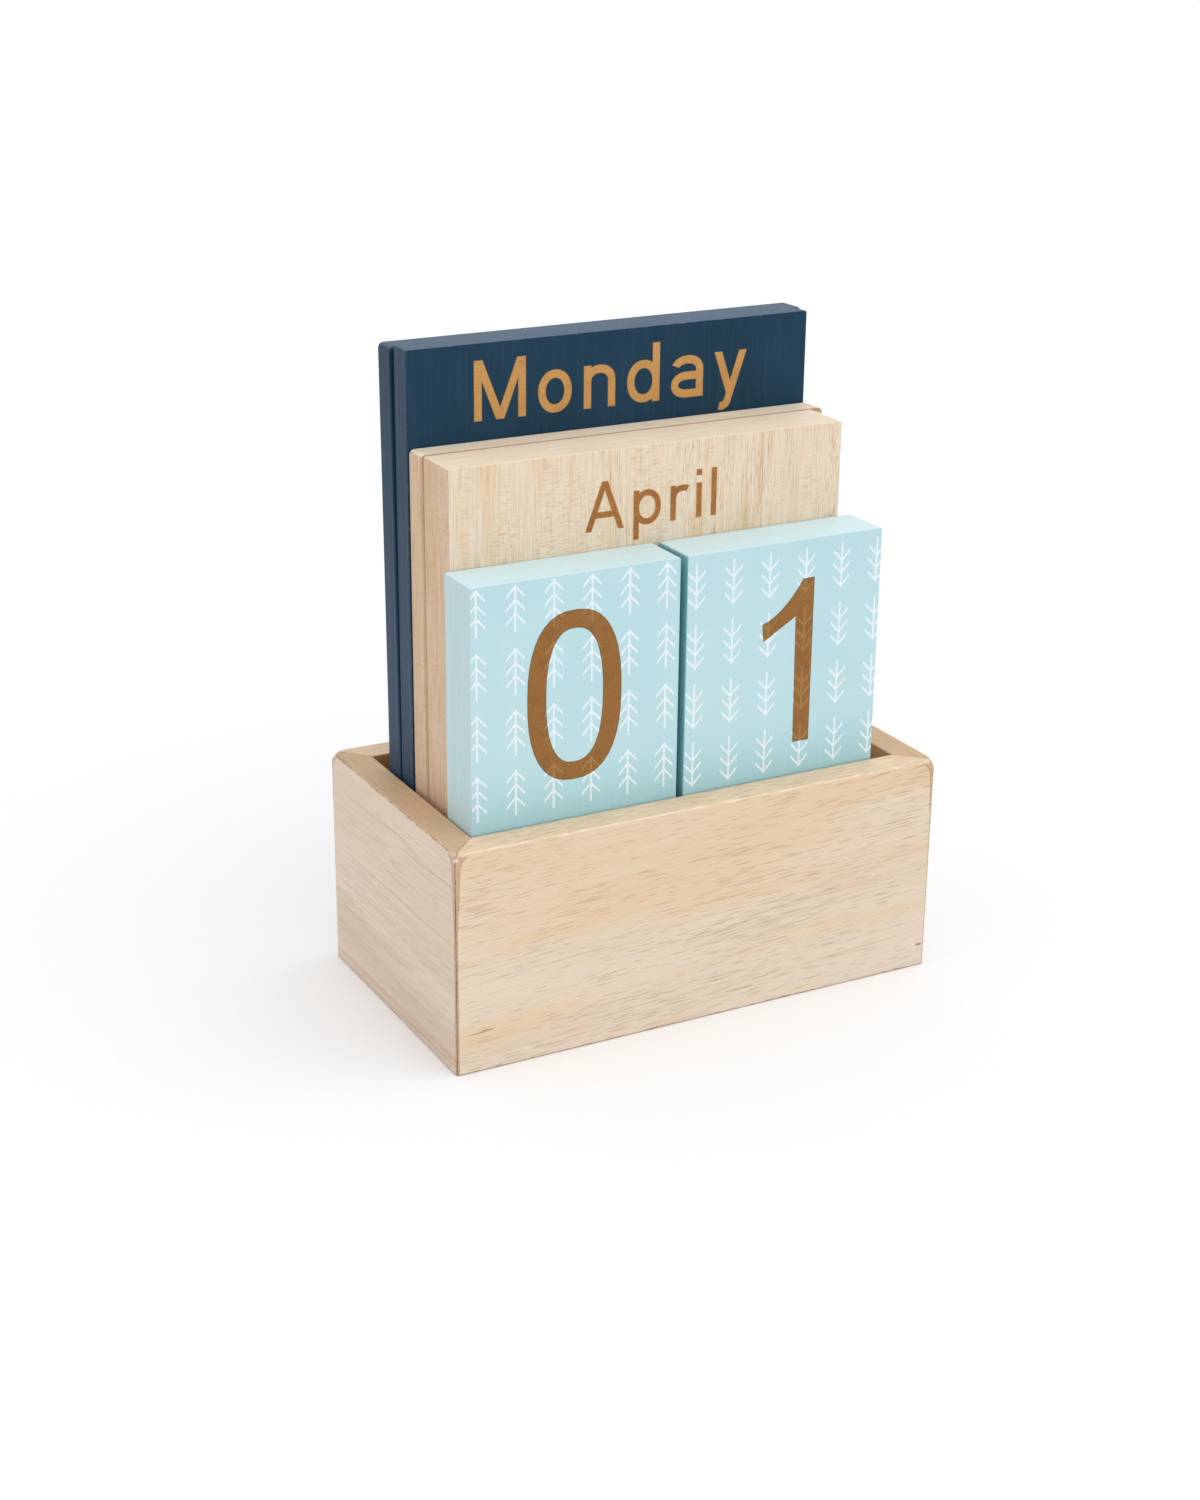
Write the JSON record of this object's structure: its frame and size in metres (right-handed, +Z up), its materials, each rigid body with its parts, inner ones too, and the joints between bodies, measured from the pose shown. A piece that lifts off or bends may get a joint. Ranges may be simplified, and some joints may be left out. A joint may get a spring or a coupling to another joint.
{
  "type": "block desk calendar in a tray",
  "caption": "Perpetual desk calendar: an open mitred wooden tray with loose upright weekday boards, month boards and number tiles standing in it.",
  "frame": {"origin": "middle of the tray's footprint, on the surface that it stands on", "axes": "+Z up, +X to the right along the front, +Y to the back; the dates face -Y"},
  "size_m": [0.15, 0.083, 0.1843],
  "materials": {
    "tray_wood": "limed, bare feel",
    "base_panel_wood": "thin bare panel",
    "pale_wood": "sanded, bare",
    "navy_paint": "matt painted wood",
    "light_blue_paint": "matt painted wood"
  },
  "bodies": {
    "tray": {"front_wall": "tray_wood", "back_wall": "tray_wood", "left_wall": "tray_wood", "right_wall": "tray_wood", "base_panel": "base_panel_wood"},
    "weekday_board_front": {"weekday_board_front": "navy_paint"},
    "weekday_board_rear": {"weekday_board_rear": "navy_paint"},
    "month_board_front": {"month_board_front": "pale_wood"},
    "month_board_middle": {"month_board_middle": "pale_wood"},
    "month_board_rear": {"month_board_rear": "pale_wood"},
    "tens_tile_front": {"tens_tile_front": "light_blue_paint"},
    "tens_tile_rear": {"tens_tile_rear": "light_blue_paint"},
    "ones_tile_front": {"ones_tile_front": "light_blue_paint"},
    "ones_tile_rear": {"ones_tile_rear": "light_blue_paint"}
  },
  "joints": [
    {"name": "weekday_board_front_lift", "type": "slide", "parent": "tray", "child": "weekday_board_front", "axis": [0, 0, 1], "range_m": [0, 0.062]},
    {"name": "weekday_board_rear_lift", "type": "slide", "parent": "tray", "child": "weekday_board_rear", "axis": [0, 0, 1], "range_m": [0, 0.062]},
    {"name": "month_board_front_lift", "type": "slide", "parent": "tray", "child": "month_board_front", "axis": [0, 0, 1], "range_m": [0, 0.062]},
    {"name": "month_board_middle_lift", "type": "slide", "parent": "tray", "child": "month_board_middle", "axis": [0, 0, 1], "range_m": [0, 0.062]},
    {"name": "month_board_rear_lift", "type": "slide", "parent": "tray", "child": "month_board_rear", "axis": [0, 0, 1], "range_m": [0, 0.062]},
    {"name": "tens_tile_front_lift", "type": "slide", "parent": "tray", "child": "tens_tile_front", "axis": [0, 0, 1], "range_m": [0, 0.062]},
    {"name": "tens_tile_rear_lift", "type": "slide", "parent": "tray", "child": "tens_tile_rear", "axis": [0, 0, 1], "range_m": [0, 0.062]},
    {"name": "ones_tile_front_lift", "type": "slide", "parent": "tray", "child": "ones_tile_front", "axis": [0, 0, 1], "range_m": [0, 0.062]},
    {"name": "ones_tile_rear_lift", "type": "slide", "parent": "tray", "child": "ones_tile_rear", "axis": [0, 0, 1], "range_m": [0, 0.062]}
  ]
}
